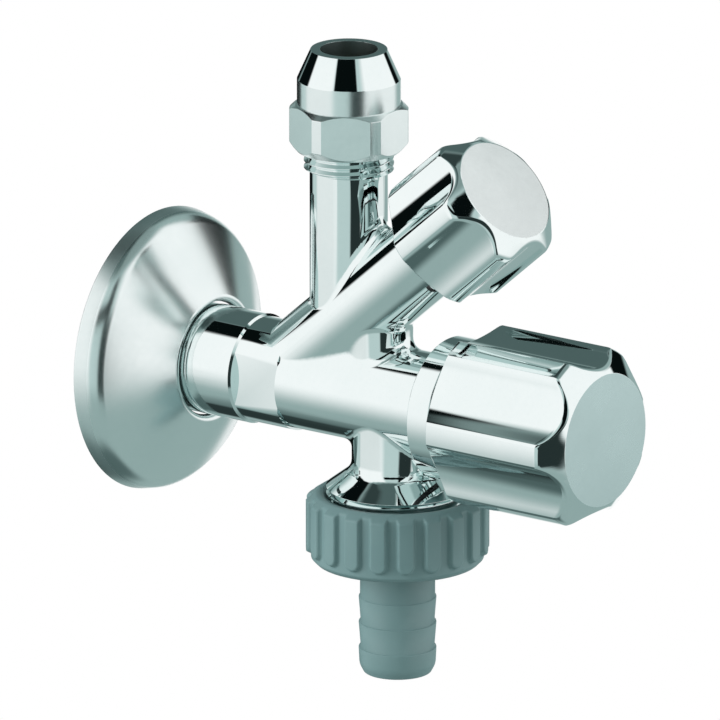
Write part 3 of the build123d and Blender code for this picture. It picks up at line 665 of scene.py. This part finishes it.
class VALVE_OT_threads(bpy.types.Operator):
    """Cuts the pipe threads of the wall inlet, the compression outlet and the hose outlet"""
    bl_idname = "valve.threads"
    bl_label = "Pipe threads"

    def execute(self, context):
        sizes = context.scene.valve_threads
        threads = (
            ("inlet_thread", main_run, -sizes.inlet_length, sizes.overlap, sizes.inlet_radius,
             sizes.coarse_pitch, sizes.inlet_bore),
            ("top_thread", top_run, sizes.top_start - sizes.overlap, sizes.top_end, sizes.top_radius,
             sizes.fine_pitch, sizes.top_bore),
            ("hose_thread", hose_run, sizes.hose_start, sizes.hose_end, sizes.hose_radius,
             sizes.coarse_pitch, sizes.hose_bore),
        )
        for name, run, start, end, radius, pitch, bore in threads:
            bm = bmesh.new()
            screw_thread(bm, start, end, radius, pitch, bore)
            thread = settle(bm, name, run, "chrome_casting")
            round_edges(thread, sizes.overlap, thread_bend)
            dress(thread, "body", "chromed_brass")
        return {"FINISHED"}


class VALVE_OT_rosette(bpy.types.Operator):
    """Presses the thin rosette with its rolled lip"""
    bl_idname = "valve.rosette"
    bl_label = "Rosette"

    def execute(self, context):
        sizes = context.scene.valve_rosette
        edge = context.scene.valve_rounding.turned_edge
        shape = Turned("rosette", main_run)
        crown = sizes.lip_radius + sizes.lip_bend / 2
        inside = sizes.shoulder_radius - sizes.wall
        bm = bmesh.new()
        lathe(bm, [
            (shape.start, shape.radius - sizes.wall, edge),
            (shape.start, shape.radius, edge),
            (sizes.shoulder_depth, sizes.shoulder_radius, sizes.shoulder_bend),
            (shape.end, crown, sizes.lip_bend),
            (shape.end - sizes.lip_depth, sizes.lip_radius, edge),
            (shape.end - sizes.lip_depth, crown, edge),
            (sizes.shoulder_depth - sizes.wall, inside, sizes.shoulder_bend / 2),
        ], 2 * turned_steps)
        rim, shoulder, crest, lip = 1, 2, 3, 4

        # Faces from the crest round the lip's turned-back inside take the darker finish: painted shade in the gap
        # round the neck
        def choose(first, last):
            if first >= crest and last >= lip:
                return 2
            return int(first == rim and last == shoulder)

        paint(bm, choose)
        rosette = settle(bm, "rosette_dish", main_run, "chrome_rosette", "satin_rim", "painted_shade_inside")
        dress(rosette, "rosette", "chromed_brass", "rosette")
        return {"FINISHED"}


class VALVE_OT_bonnets(bpy.types.Operator):
    """Turns the two headworks whose collars show behind the handles"""
    bl_idname = "valve.bonnets"
    bl_label = "Bonnets"

    def execute(self, context):
        edge = context.scene.valve_rounding.turned_edge
        for valve, run, finish in (
            ("appliance", main_run, "chrome_collar"), ("basin", branch_run, "chrome_oblique"),
        ):
            shape = Turned(f"{valve}_bonnet", run)
            collar = shape.stations_at(shape.radius)
            insert = max(shape.radii_at(shape.start))
            nose = max(shape.radii_at(shape.end))
            bore = min(shape.radii_at(shape.end))
            bm = bmesh.new()
            lathe(bm, [
                (shape.start, bore, 0),
                (shape.start, insert, 0),
                (min(collar), insert, 0),
                (min(collar), shape.radius, 0),
                (max(collar), shape.radius, 0),
                (max(collar), nose, 0),
                (shape.end, nose, 0),
                (shape.end, bore, 0),
            ])
            bonnet = settle(bm, f"{valve}_headwork", run, finish)
            round_edges(bonnet, edge)
            dress(bonnet, "body", "chromed_brass", f"{valve}_bonnet")
        return {"FINISHED"}


def soft_least(first, second, blend):
    """The lesser of two lengths, with the corner where they cross rounded over."""
    part = max(0.0, min(1.0, 0.5 + (second - first) / (2 * blend)))
    return second + (first - second) * part - blend * part * (1 - part)


def fluted_handle(name, run, flute_radius, flute_depth, handle_turn, face, dome, edge):
    """Turns a handle with bevelled ends and a hollow, and presses six flutes into it."""
    shape = Turned(name, run)
    rim = shape.stations_at(shape.radius)
    back_bevel = min(rim) - shape.start
    crown = [part / dome_rings for part in range(dome_rings + 1)]
    face_bevel = shape.end - max(rim)
    back_radius = max(shape.radii_at(shape.start))
    face_radius = max(shape.radii_at(shape.end))
    hollow = min(shape.radii_at(shape.start))
    hollow_end = max(shape.stations_at(hollow))
    hub = max(radius for radius in shape.radii_at(hollow_end) if radius < hollow - reading)
    hub_start = min(shape.stations_at(hub))
    flute_line = shape.radius - flute_depth + flute_radius
    squares = shape.radius ** 2 + flute_line ** 2 - flute_radius ** 2
    half_flute = acos(squares / (2 * shape.radius * flute_line))
    steps = 6 * (flute_steps + land_steps)
    first_edge = dome_rings + 1
    first_rear = first_edge + edge_rings + 1
    rear_rings = 7

    def place(step, ring):
        bearing, offset = sector_bearing(step, half_flute, flute_steps, land_steps, sixth / 2 + handle_turn)
        near = min(abs(offset), sixth - abs(offset))
        room = flute_radius ** 2 - (flute_line * sin(near)) ** 2
        flute = flute_line * cos(near) - sqrt(room) if room > 0 else flute_line
        reach = soft_least(shape.radius, flute, edge)
        front = shape.end - face_bevel * (reach - face_radius) / (shape.radius - face_radius)
        back = shape.start + back_bevel * max(reach - back_radius, 0) / (shape.radius - back_radius)
        if ring < first_edge:
            return bearing, shape.end - dome * crown[ring] ** 2, face_radius * crown[ring]
        if ring < first_rear:
            part = (ring - first_edge) / edge_rings
            slope = Vector((shape.end - front, face_radius - reach)).normalized()
            corner = Vector((front, reach)) + slope * edge * (1 - part) ** 2
            return bearing, corner.x - edge * part ** 2, corner.y
        return (bearing, *(
            (back, reach),
            (shape.start, min(reach, back_radius)),
            (shape.start, hollow),
            (hollow_end, hollow),
            (hollow_end, hub),
            (hub_start, hub),
            (hub_start, 0),
        )[ring - first_rear])

    bm = press(steps, first_rear + rear_rings, place)
    paint(bm, lambda first, last: int(last < first_edge))
    return settle(bm, f"{name}_shell", run, "chrome_handle", face)


class VALVE_OT_handles(bpy.types.Operator):
    """Makes the two six-fluted handles with their satin faces"""
    bl_idname = "valve.handles"
    bl_label = "Handles"

    def execute(self, context):
        sizes = context.scene.valve_handles
        edge = context.scene.valve_rounding.handle_edge
        # The oblique handle's face takes the paler satin copy: painted light on its upper face
        handles = (
            ("appliance", main_run, sizes.appliance_flute_radius, sizes.appliance_flute_depth,
             sizes.appliance_turn, "satin_face"),
            ("basin", branch_run, sizes.basin_flute_radius, sizes.basin_flute_depth,
             sizes.basin_turn, "satin_oblique"),
        )
        for valve, *values in handles:
            shell = fluted_handle(f"{valve}_handle", *values, sizes.dome, edge)
            round_edges(shell, edge / 2)
            dress(shell, f"{valve}_handle", "chromed_zinc", f"{valve}_handle")
        return {"FINISHED"}


class VALVE_OT_compression_nut(bpy.types.Operator):
    """Makes the hexagon nut with its turned barrel and cone"""
    bl_idname = "valve.compression_nut"
    bl_label = "Compression nut"

    def execute(self, context):
        sizes = context.scene.valve_nuts
        shape = Turned("compression_nut", top_run)
        lower_radius = max(shape.radii_at(shape.start))
        rim_radius = max(shape.radii_at(shape.end))
        hole = min(shape.radii_at(shape.end))
        hexagon_end = shape.start + sizes.hexagon_height
        barrel_end = hexagon_end + sizes.barrel_height
        apothem = sizes.across_flats / 2
        half_flat = acos(apothem / shape.radius)
        steps = 6 * (flat_steps + corner_steps)
        cone, hole_start, rings = 6, 8, 11

        def place(step, ring):
            bearing, offset = sector_bearing(
                step, half_flat, flat_steps, corner_steps, sixth / 2 + sizes.hexagon_turn,
            )
            reach = min(apothem / cos(offset), shape.radius) if abs(offset) < half_flat else shape.radius
            lower = (reach - lower_radius) / (shape.radius - lower_radius)
            upper = (reach - sizes.upper_radius) / (shape.radius - sizes.upper_radius)
            return (bearing, *(
                (shape.start, sizes.thread_room),
                (shape.start, lower_radius),
                (shape.start + sizes.lower_bevel * lower, reach),
                (hexagon_end - sizes.upper_bevel * upper, reach),
                (hexagon_end, sizes.upper_radius),
                (hexagon_end, sizes.barrel_radius),
                (barrel_end, sizes.barrel_radius),
                (shape.end, rim_radius),
                (shape.end, hole),
                (shape.end - sizes.throat, hole),
                (shape.end - sizes.throat, sizes.thread_room),
            )[ring])

        bm = press(steps, rings, place)
        # The hole and throat faces take the darker finish: painted shade inside the nut's hole
        paint(bm, lambda first, last: 2 if first >= hole_start else int(first < cone))
        nut = settle(bm, "compression_nut_hexagon", top_run, "chrome_nut", "satin_nut", "painted_shade_inside")
        round_edges(nut, context.scene.valve_rounding.turned_edge)
        dress(nut, "compression_nut", "chromed_brass", "compression_nut")
        return {"FINISHED"}


class VALVE_OT_union_nut(bpy.types.Operator):
    """Moulds the ribbed union nut"""
    bl_idname = "valve.union_nut"
    bl_label = "Union nut"

    def execute(self, context):
        sizes = context.scene.valve_nuts
        edge = context.scene.valve_rounding.moulded_edge
        shape = Turned("union_nut", hose_run)
        top_radius = max(shape.radii_at(shape.start))
        mouth = min(shape.radii_at(shape.start))
        foot_radius = max(shape.radii_at(shape.end))
        hole = min(shape.radii_at(shape.end))
        steps = sizes.rib_count * rib_steps
        half_rib = sizes.rib_width / 2
        rib_round = sizes.rib_start + sizes.rib_length - half_rib
        height = shape.end - shape.start
        wall = [shape.start + height * part / nut_wall_steps for part in range(nut_wall_steps + 1)]
        lip = shape.end - sizes.union_lip
        inside = [
            (shape.end, hole),
            (lip, hole),
            (lip, sizes.union_bore),
            (shape.start + edge, sizes.union_bore),
            (shape.start, mouth),
        ]

        def wall_radius(station, bearing):
            """Radius of the outside with its ribs, between the bevels of its two ends."""
            pitch = full_turn / sizes.rib_count
            sideways = ((bearing - sizes.rib_turn + pitch / 2) % pitch - pitch / 2) * sizes.core_radius
            away = hypot(sideways, max(station - rib_round, 0)) - half_rib
            rise = min(max(0.5 - away / sizes.rib_softness, 0), 1)
            rise = rise * rise * (3 - 2 * rise)
            ribbed = sizes.core_radius + (shape.radius - sizes.core_radius) * rise
            top = top_radius + (shape.radius - top_radius) * (station - shape.start) / sizes.top_bevel
            foot = foot_radius + (shape.radius - foot_radius) * (shape.end - station) / sizes.foot_bevel
            return min(ribbed, top, foot)

        def place(step, ring):
            bearing = full_turn * step / steps
            if ring < len(wall):
                return bearing, wall[ring], wall_radius(wall[ring], bearing)
            return (bearing, *inside[ring - len(wall)])

        bm = press(steps, len(wall) + len(inside), place)
        nut = settle(bm, "union_nut_moulding", hose_run, "moulded_grey")
        dress(nut, "union_nut", "grey_plastic", "union_nut")
        return {"FINISHED"}


class VALVE_OT_hose_tail(bpy.types.Operator):
    """Moulds the barbed hose tail"""
    bl_idname = "valve.hose_tail"
    bl_label = "Hose tail"

    def execute(self, context):
        sizes = context.scene.valve_nuts
        edge = context.scene.valve_rounding.moulded_edge
        shape = Turned("hose_tail", hose_run)
        outline = [
            (shape.start, sizes.tail_bore, 0),
            (shape.start, shape.radius, edge),
            (shape.start + sizes.flange, shape.radius, edge),
            (shape.start + sizes.flange, sizes.tail_neck, edge),
        ]
        for barb in range(sizes.barb_count):
            station = sizes.barb_start + barb * sizes.barb_pitch
            above = sizes.barb_valley if barb else sizes.tail_neck
            outline += [(station - edge / 2, above, 0), (station, sizes.barb_radius, edge / 2)]
        outline += [
            (shape.end - sizes.tip_bevel, sizes.tip_shoulder, 2 * edge),
            (shape.end, sizes.tip_radius, edge),
            (shape.end, sizes.tail_bore, edge),
        ]
        bm = bmesh.new()
        lathe(bm, outline)
        tail = settle(bm, "hose_tail_moulding", hose_run, "moulded_grey")
        dress(tail, "hose_tail", "grey_plastic", "hose_tail")
        return {"FINISHED"}


def band(tree, value, low, high, low_soft, high_soft):
    """A mask that is full between two angles in degrees, with soft edges."""
    rise = remap(tree, value, radians(low - low_soft), radians(low + low_soft), smooth=True)
    fall = remap(tree, value, radians(high - high_soft), radians(high + high_soft), 1.0, 0.0, smooth=True)
    return math_node(tree, "MULTIPLY", rise, fall)


def tent_material(studio):
    """Light of the tent: each panel has its light, a span of bearing and a span of elevation, in degrees."""
    fabric, pale, card, shadow, flag = studio.fabric, studio.pale, studio.card, studio.shadow, studio.flag
    panels = (
        ("lower left card", shadow, (180, 285, 14, 10), (-100, -52, 1, 8)),
        ("table", shadow, (-400, 400, 1, 1), (-100, -68, 1, 8)),
        ("front card", pale, (-42, 36, 6, 6), (-24, 58, 8, 8)),
        ("left panel", fabric, (-110, -34, 6, 6), (-22, 57, 22, 4)),
        ("right panel", fabric, (34, 124, 8, 8), (-20, 56, 14, 6)),
        ("rear panel", fabric, (160, 181, 4, 3), (-34, 2, 6, 6)),
        ("left card", pale, (226, 250, 4, 4), (-30, -2, 4, 4)),
        ("rear flag", flag, (184, 227, 3, 3), (-32, 2, 4, 3)),
        ("rear card", shadow, (158, 214, 8, 4), (14, 60, 6, 4)),
        ("lower left flag", shade(shadow, 0.3), (196, 240, 5, 5), (-60, -42, 5, 5)),
        ("right rear flag", flag, (122, 152, 2, 2), (3, 28, 2, 2)),
        ("left rear flag", flag, (214, 257, 1.5, 4), (27, 59, 1.5, 1.5)),
        ("left strip", flag, (218, 257, 1.5, 3), (3, 20, 1.5, 1.5)),
        ("camera flag", flag, (4, 21, 2, 2), (22, 56, 2, 2)),
        ("camera strip", flag, (-33, 8, 2, 2), (25, 39, 1.5, 1.5)),
        ("camera card", shade(shadow, 0.25), (4, 34, 3, 3), (-27, 22, 3, 4)),
        ("roof", shade(card, 0.75), (-400, 400, 1, 1), (62, 100, 4, 1)),
        ("front roof", shadow, (262, 365, 10, 10), (67, 100, 6, 1)),
        ("left roof", shade(shadow, 0.4), (170, 268, 6, 6), (61, 100, 4, 1)),
    )
    tent_light = bpy.data.materials.new("tent_light")
    tent_light.use_nodes = True
    tree = tent_light.node_tree
    tree.nodes.clear()
    position = add_node(tree, "ShaderNodeTexCoord").outputs["Object"]
    turned = add_node(tree, "ShaderNodeVectorRotate", rotation_type="Z_AXIS")
    tree.links.new(position, turned.inputs["Vector"])
    turned.inputs["Angle"].default_value = pi / 2 - studio.azimuth
    outward = add_node(tree, "ShaderNodeVectorMath", operation="NORMALIZE")
    tree.links.new(turned.outputs["Vector"], outward.inputs[0])
    axes = add_node(tree, "ShaderNodeSeparateXYZ")
    tree.links.new(outward.outputs["Vector"], axes.inputs["Vector"])
    bearing = math_node(tree, "ARCTAN2", axes.outputs["Y"], axes.outputs["X"])
    behind = math_node(tree, "LESS_THAN", bearing, 0.0)
    around = math_node(tree, "ADD", bearing, math_node(tree, "MULTIPLY", behind, full_turn))
    elevation = math_node(tree, "ARCSINE", axes.outputs["Z"])
    colour = add_node(tree, "ShaderNodeRGB").outputs["Color"]
    colour.default_value = (*card, 1.0)
    for name, light, across, height in panels:
        sideways = around if across[1] > 180 else bearing
        mask = math_node(tree, "MULTIPLY", band(tree, sideways, *across), band(tree, elevation, *height))
        colour = mix_colours(tree, mask, colour, light)
        colour.node.label = name
    emission = add_node(tree, "ShaderNodeEmission")
    tree.links.new(colour, emission.inputs["Color"])
    output = add_node(tree, "ShaderNodeOutputMaterial")
    tree.links.new(emission.outputs["Emission"], output.inputs["Surface"])


def floor_material(studio):
    """Pale floor that the camera sees as the white of the background."""
    tree, shader = new_material("pale_floor", 0.0)[:2]
    shader.inputs["Base Color"].default_value = (*studio.floor, 1.0)
    shader.inputs["Roughness"].default_value = 0.8
    white = add_node(tree, "ShaderNodeEmission")
    rays = add_node(tree, "ShaderNodeLightPath")
    choice = add_node(tree, "ShaderNodeMixShader")
    tree.links.new(rays.outputs["Is Camera Ray"], choice.inputs["Fac"])
    tree.links.new(shader.outputs["BSDF"], choice.inputs[1])
    tree.links.new(white.outputs["Emission"], choice.inputs[2])
    tree.links.new(choice.outputs["Shader"], tree.nodes["Material Output"].inputs["Surface"])


class VALVE_OT_stage(bpy.types.Operator):
    """Puts up the light tent, the floor, the lamps and the camera"""
    bl_idname = "valve.stage"
    bl_label = "Stage and camera"

    def execute(self, context):
        studio = context.scene.valve_studio
        scene = context.scene
        scene.view_settings.view_transform = "Standard"
        scene.world = bpy.data.worlds.new("white_background")
        scene.world.use_nodes = True
        scene.world.node_tree.nodes["Background"].inputs["Color"].default_value = (1, 1, 1, 1)
        tent_material(studio)
        floor_material(studio)

        bm = bmesh.new()
        bmesh.ops.create_uvsphere(bm, u_segments=64, v_segments=32, radius=studio.tent_radius)
        bmesh.ops.reverse_faces(bm, faces=bm.faces[:])
        tent = settle(bm, "light_tent", Matrix.Identity(4), "tent_light")
        tent.visible_camera = False

        bm = bmesh.new()
        bmesh.ops.create_circle(bm, cap_ends=True, segments=64, radius=studio.floor_radius)
        place = Matrix.Translation((studio.aim[0], studio.aim[1], -studio.floor_depth))
        floor = settle(bm, "floor", place, "pale_floor")
        floor.visible_glossy = False

        back = Vector((
            sin(studio.azimuth) * cos(studio.elevation),
            -cos(studio.azimuth) * cos(studio.elevation),
            sin(studio.elevation),
        ))
        aim = Vector(studio.aim)
        for name, bearing, power in (("left_fill", -70, 1.0), ("right_fill", 75, 0.4)):
            lamp = bpy.data.lights.new(name, "AREA")
            lamp.energy = studio.fill * power
            lamp.size = studio.tent_radius / 2
            fill = bpy.data.objects.new(name, lamp)
            side = Matrix.Rotation(radians(bearing), 3, "Z") @ back
            fill.location = aim + side * studio.tent_radius * lamp_reach
            fill.rotation_mode = "QUATERNION"
            fill.rotation_quaternion = side.to_track_quat("Z", "Y")
            fill.visible_glossy = False
            scene.collection.objects.link(fill)

        view = bpy.data.cameras.new("camera")
        view.lens = studio.lens
        view.clip_end = 20.0
        camera = bpy.data.objects.new("camera", view)
        camera.location = aim + back * studio.distance
        camera.rotation_mode = "QUATERNION"
        camera.rotation_quaternion = (-back).to_track_quat("-Z", "Y")
        scene.collection.objects.link(camera)
        scene.camera = camera
        return {"FINISHED"}


class VALVE_PT_sidebar(bpy.types.Panel):
    """Steps and sizes of the valve"""
    bl_idname = "VALVE_PT_sidebar"
    bl_label = "Combination angle valve"
    bl_space_type = "VIEW_3D"
    bl_region_type = "UI"
    bl_category = "Valve"

    def draw(self, context):
        for operator in operators:
            self.layout.operator(operator.bl_idname)
        for name, group in property_groups.items():
            box = self.layout.box()
            box.label(text=group.__doc__)
            for key in group.__annotations__:
                box.prop(getattr(context.scene, name), key)


operators = (
    VALVE_OT_finishes,
    VALVE_OT_casting,
    VALVE_OT_threads,
    VALVE_OT_rosette,
    VALVE_OT_bonnets,
    VALVE_OT_handles,
    VALVE_OT_compression_nut,
    VALVE_OT_union_nut,
    VALVE_OT_hose_tail,
    VALVE_OT_stage,
)
property_groups = {
    "valve_threads": ThreadSizes,
    "valve_rounding": RoundingSizes,
    "valve_rosette": RosetteSizes,
    "valve_handles": HandleSizes,
    "valve_nuts": NutSizes,
    "valve_finishes": Finishes,
    "valve_studio": StudioSettings,
}


def register():
    for group in (*property_groups.values(), *operators, VALVE_PT_sidebar):
        bpy.utils.register_class(group)
    for name, group in property_groups.items():
        setattr(bpy.types.Scene, name, bpy.props.PointerProperty(type=group))


def unregister():
    for name in property_groups:
        delattr(bpy.types.Scene, name)
    for group in (VALVE_PT_sidebar, *reversed(operators), *reversed(property_groups.values())):
        bpy.utils.unregister_class(group)


def main():
    register()
    bpy.ops.valve.finishes()
    bpy.ops.valve.casting()
    bpy.ops.valve.threads()
    bpy.ops.valve.rosette()
    bpy.ops.valve.bonnets()
    bpy.ops.valve.handles()
    bpy.ops.valve.compression_nut()
    bpy.ops.valve.union_nut()
    bpy.ops.valve.hose_tail()
    bpy.ops.valve.stage()


if __name__ == "__main__":
    main()
